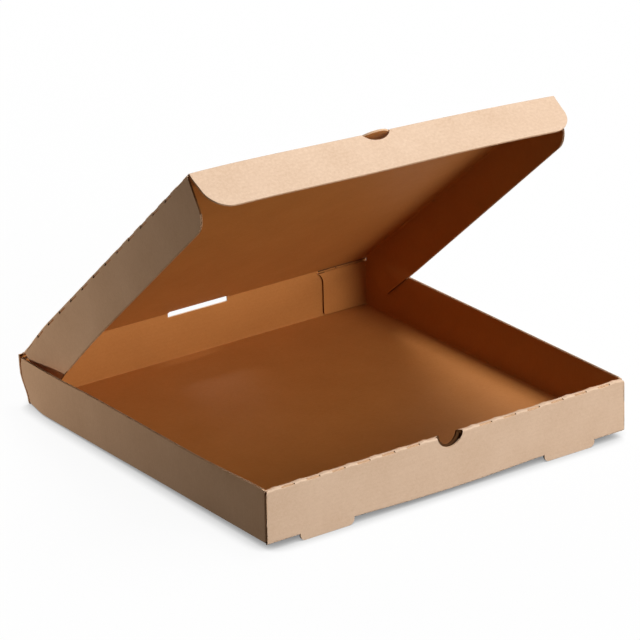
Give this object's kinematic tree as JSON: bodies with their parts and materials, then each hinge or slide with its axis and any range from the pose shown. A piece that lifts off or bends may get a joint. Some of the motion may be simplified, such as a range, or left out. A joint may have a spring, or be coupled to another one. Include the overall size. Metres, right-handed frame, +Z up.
{
  "type": "pizza box",
  "caption": "Open folded corrugated pizza box: square shallow tray, roll-over double front wall with thumb notch, and a hinged lid with tuck-in side and front flaps.",
  "frame": {"origin": "centre of the flat underside of the tray's base; the two lock tongues of the front wall reach 4.8 mm below it", "axes": "+X to the box's right as seen from its open front, +Y back towards the lid's hinge, +Z up"},
  "size_m": [0.33, 0.33, 0.2591],
  "materials": {
    "kraft_board": "matt unbleached kraft paper on both faces"
  },
  "bodies": {
    "tray": {"tray": "kraft_board"},
    "lid": {"lid": "kraft_board"},
    "lid_front_flap": {"lid_front_flap": "kraft_board"},
    "lid_left_flap": {"lid_left_flap": "kraft_board"},
    "lid_right_flap": {"lid_right_flap": "kraft_board"}
  },
  "joints": [
    {"name": "lid_hinge", "type": "hinge", "parent": "tray", "child": "lid", "pos_m": [0, 0.16425, 0.04125], "axis": [-1, 0, 0], "range_deg": [-40.5, 139.5]},
    {"name": "front_flap_fold", "type": "hinge", "parent": "lid", "child": "lid_front_flap", "pos_m": [0, -0.0803, 0.25011], "axis": [-1, 0, 0], "range_deg": [-20.25, 69.75]},
    {"name": "left_flap_fold", "type": "hinge", "parent": "lid", "child": "lid_left_flap", "pos_m": [-0.1615, 0.16376, 0.04068], "axis": [0, -0.7604, 0.6494], "range_deg": [0, 75]},
    {"name": "right_flap_fold", "type": "hinge", "parent": "lid", "child": "lid_right_flap", "pos_m": [0.1615, 0.16376, 0.04068], "axis": [0, 0.7604, -0.6494], "range_deg": [0, 75]}
  ],
  "couplings": [
    {"joint": "front_flap_fold", "follows": "lid_hinge", "ratio": 0.5}
  ]
}
